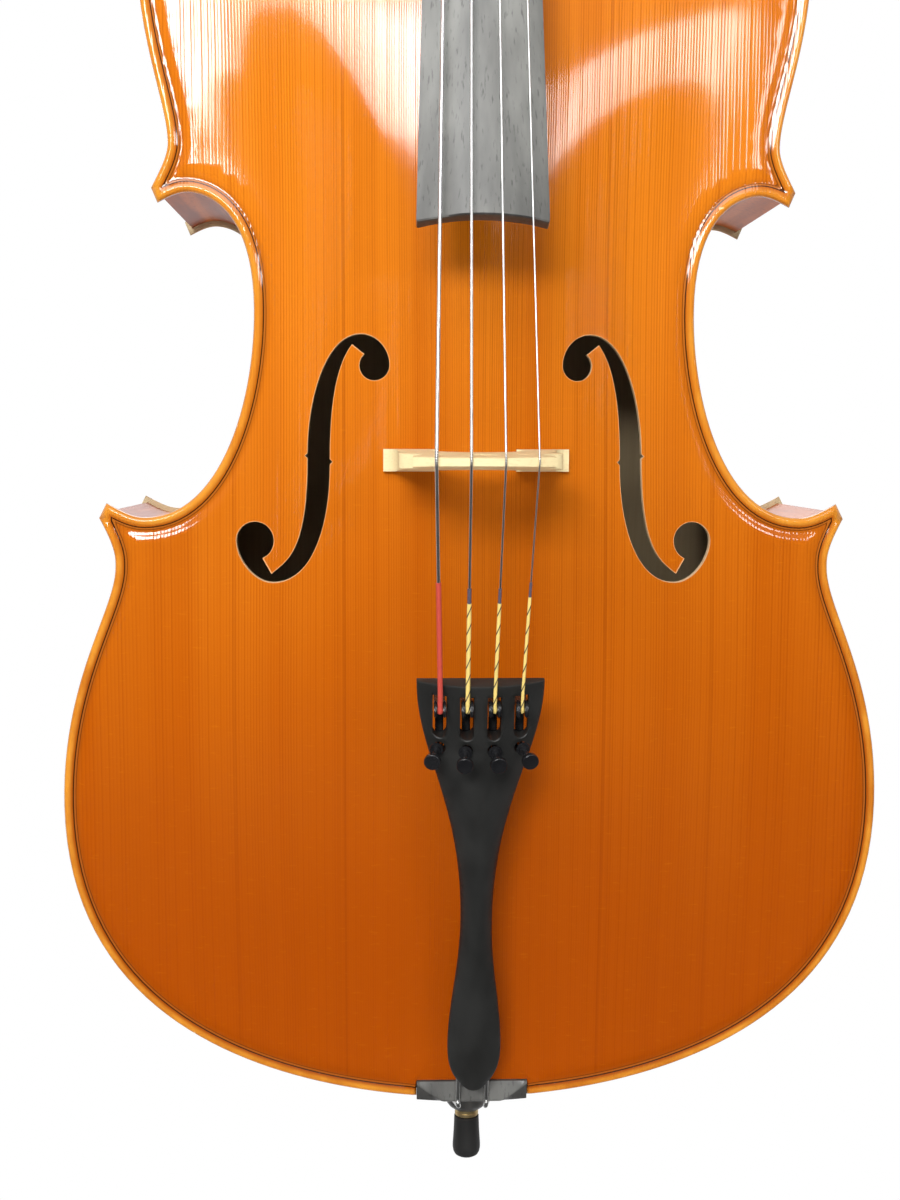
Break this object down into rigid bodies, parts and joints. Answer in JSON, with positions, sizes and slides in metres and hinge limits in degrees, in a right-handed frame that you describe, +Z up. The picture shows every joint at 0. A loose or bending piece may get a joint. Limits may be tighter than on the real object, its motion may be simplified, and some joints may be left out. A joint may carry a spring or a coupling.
{
  "type": "cello",
  "caption": "Full-size cello with arched plates, sound holes, turning pegs, fine tuners in the tailpiece and a sliding endpin.",
  "frame": {"origin": "centre of the flat end of the endpin tip, with the endpin pushed fully in", "axes": "+Z up along the body towards the scroll, strings and belly face -Y, treble side (A string) at +X"},
  "size_m": [0.44, 0.2565, 1.295],
  "materials": {
    "spruce_varnish": "gloss orange-brown spirit varnish over straight-grained spruce",
    "maple_varnish": "gloss red-brown varnish over maple",
    "bare_spruce": "bare planed spruce",
    "ebony": "satin black ebony",
    "bridge_maple": "bare maple, satin",
    "string_steel": "flat-wound steel",
    "wire_steel": "polished steel",
    "black_plastic": "satin black moulded",
    "black_gloss": "gloss black",
    "brass": "satin brass",
    "rubber": "matt black"
  },
  "bodies": {
    "cello_body": {"top_plate": "spruce_varnish", "back_plate": "maple_varnish", "rib_lower_left": "maple_varnish", "lining_lower_left_front": "bare_spruce", "lining_lower_left_back": "bare_spruce", "rib_lower_right": "maple_varnish", "lining_lower_right_front": "bare_spruce", "lining_lower_right_back": "bare_spruce", "rib_waist_left": "maple_varnish", "lining_waist_left_front": "bare_spruce", "lining_waist_left_back": "bare_spruce", "rib_waist_right": "maple_varnish", "lining_waist_right_front": "bare_spruce", "lining_waist_right_back": "bare_spruce", "rib_upper_left": "maple_varnish", "lining_upper_left_front": "bare_spruce", "lining_upper_left_back": "bare_spruce", "rib_upper_right": "maple_varnish", "lining_upper_right_front": "bare_spruce", "lining_upper_right_back": "bare_spruce", "corner_block_lower_left": "bare_spruce", "corner_block_lower_right": "bare_spruce", "corner_block_upper_left": "bare_spruce", "corner_block_upper_right": "bare_spruce", "end_block": "bare_spruce", "neck_block": "bare_spruce", "bass_bar": "bare_spruce", "sound_post": "bare_spruce", "neck": "maple_varnish", "fingerboard": "ebony", "nut": "ebony", "bridge": "bridge_maple", "tailpiece": "black_plastic", "saddle": "ebony", "tail_wire": "wire_steel", "endpin_plug": "ebony", "string_c": "string_steel", "string_g": "string_steel", "string_d": "string_steel", "string_a": "string_steel"},
    "peg_c": {"peg_c": "ebony", "winding_c": "string_steel"},
    "tuner_lever_c": {"tuner_lever_c": "black_plastic"},
    "tuner_screw_c": {"tuner_screw_c": "black_gloss"},
    "peg_g": {"peg_g": "ebony", "winding_g": "string_steel"},
    "tuner_lever_g": {"tuner_lever_g": "black_plastic"},
    "tuner_screw_g": {"tuner_screw_g": "black_gloss"},
    "peg_d": {"peg_d": "ebony", "winding_d": "string_steel"},
    "tuner_lever_d": {"tuner_lever_d": "black_plastic"},
    "tuner_screw_d": {"tuner_screw_d": "black_gloss"},
    "peg_a": {"peg_a": "ebony", "winding_a": "string_steel"},
    "tuner_lever_a": {"tuner_lever_a": "black_plastic"},
    "tuner_screw_a": {"tuner_screw_a": "black_gloss"},
    "endpin": {"endpin_rod": "wire_steel", "endpin_ferrule": "brass", "endpin_tip": "rubber"},
    "endpin_screw": {"endpin_screw": "wire_steel"}
  },
  "joints": [
    {"name": "peg_c_turn", "type": "hinge", "parent": "cello_body", "child": "peg_c", "pos_m": [0, -0.01693, 1.1401], "axis": [1, 0, 0], "continuous": true},
    {"name": "tuner_screw_c_turn", "type": "hinge", "parent": "cello_body", "child": "tuner_screw_c", "pos_m": [-0.01995, -0.12266, 0.27581], "axis": [-0.1688, -0.9537, -0.2491], "range_deg": [0, 1800]},
    {"name": "tuner_lever_c_tilt", "type": "hinge", "parent": "cello_body", "child": "tuner_lever_c", "pos_m": [-0.01995, -0.12596, 0.29872], "axis": [1, 0, 0], "range_deg": [0, 10]},
    {"name": "peg_g_turn", "type": "hinge", "parent": "cello_body", "child": "peg_g", "pos_m": [0, -0.00011, 1.1951], "axis": [1, 0, 0], "continuous": true},
    {"name": "tuner_screw_g_turn", "type": "hinge", "parent": "cello_body", "child": "tuner_screw_g", "pos_m": [-0.00665, -0.12266, 0.27581], "axis": [-0.0565, -0.966, -0.2523], "range_deg": [0, 1800]},
    {"name": "tuner_lever_g_tilt", "type": "hinge", "parent": "cello_body", "child": "tuner_lever_g", "pos_m": [-0.00665, -0.12596, 0.29872], "axis": [1, 0, 0], "range_deg": [0, 10]},
    {"name": "peg_d_turn", "type": "hinge", "parent": "cello_body", "child": "peg_d", "pos_m": [0, 0.00692, 1.2181], "axis": [1, 0, 0], "continuous": true},
    {"name": "tuner_screw_d_turn", "type": "hinge", "parent": "cello_body", "child": "tuner_screw_d", "pos_m": [0.00665, -0.12266, 0.27581], "axis": [0.0565, -0.966, -0.2523], "range_deg": [0, 1800]},
    {"name": "tuner_lever_d_tilt", "type": "hinge", "parent": "cello_body", "child": "tuner_lever_d", "pos_m": [0.00665, -0.12596, 0.29872], "axis": [1, 0, 0], "range_deg": [0, 10]},
    {"name": "peg_a_turn", "type": "hinge", "parent": "cello_body", "child": "peg_a", "pos_m": [0, -0.0099, 1.1631], "axis": [1, 0, 0], "continuous": true},
    {"name": "tuner_screw_a_turn", "type": "hinge", "parent": "cello_body", "child": "tuner_screw_a", "pos_m": [0.01995, -0.12266, 0.27581], "axis": [0.1688, -0.9537, -0.2491], "range_deg": [0, 1800]},
    {"name": "tuner_lever_a_tilt", "type": "hinge", "parent": "cello_body", "child": "tuner_lever_a", "pos_m": [0.01995, -0.12596, 0.29872], "axis": [1, 0, 0], "range_deg": [0, 10]},
    {"name": "endpin_slide", "type": "slide", "parent": "cello_body", "child": "endpin", "axis": [0, 0, -1], "range_m": [0, 0.3]},
    {"name": "endpin_screw_turn", "type": "hinge", "parent": "cello_body", "child": "endpin_screw", "pos_m": [0, 0.0043, 0.0401], "axis": [0, 1, 0], "range_deg": [0, 720]}
  ],
  "couplings": [
    {"joint": "tuner_lever_c_tilt", "follows": "tuner_screw_c_turn", "ratio": 0.005},
    {"joint": "tuner_lever_g_tilt", "follows": "tuner_screw_g_turn", "ratio": 0.005},
    {"joint": "tuner_lever_d_tilt", "follows": "tuner_screw_d_turn", "ratio": 0.005},
    {"joint": "tuner_lever_a_tilt", "follows": "tuner_screw_a_turn", "ratio": 0.005}
  ]
}
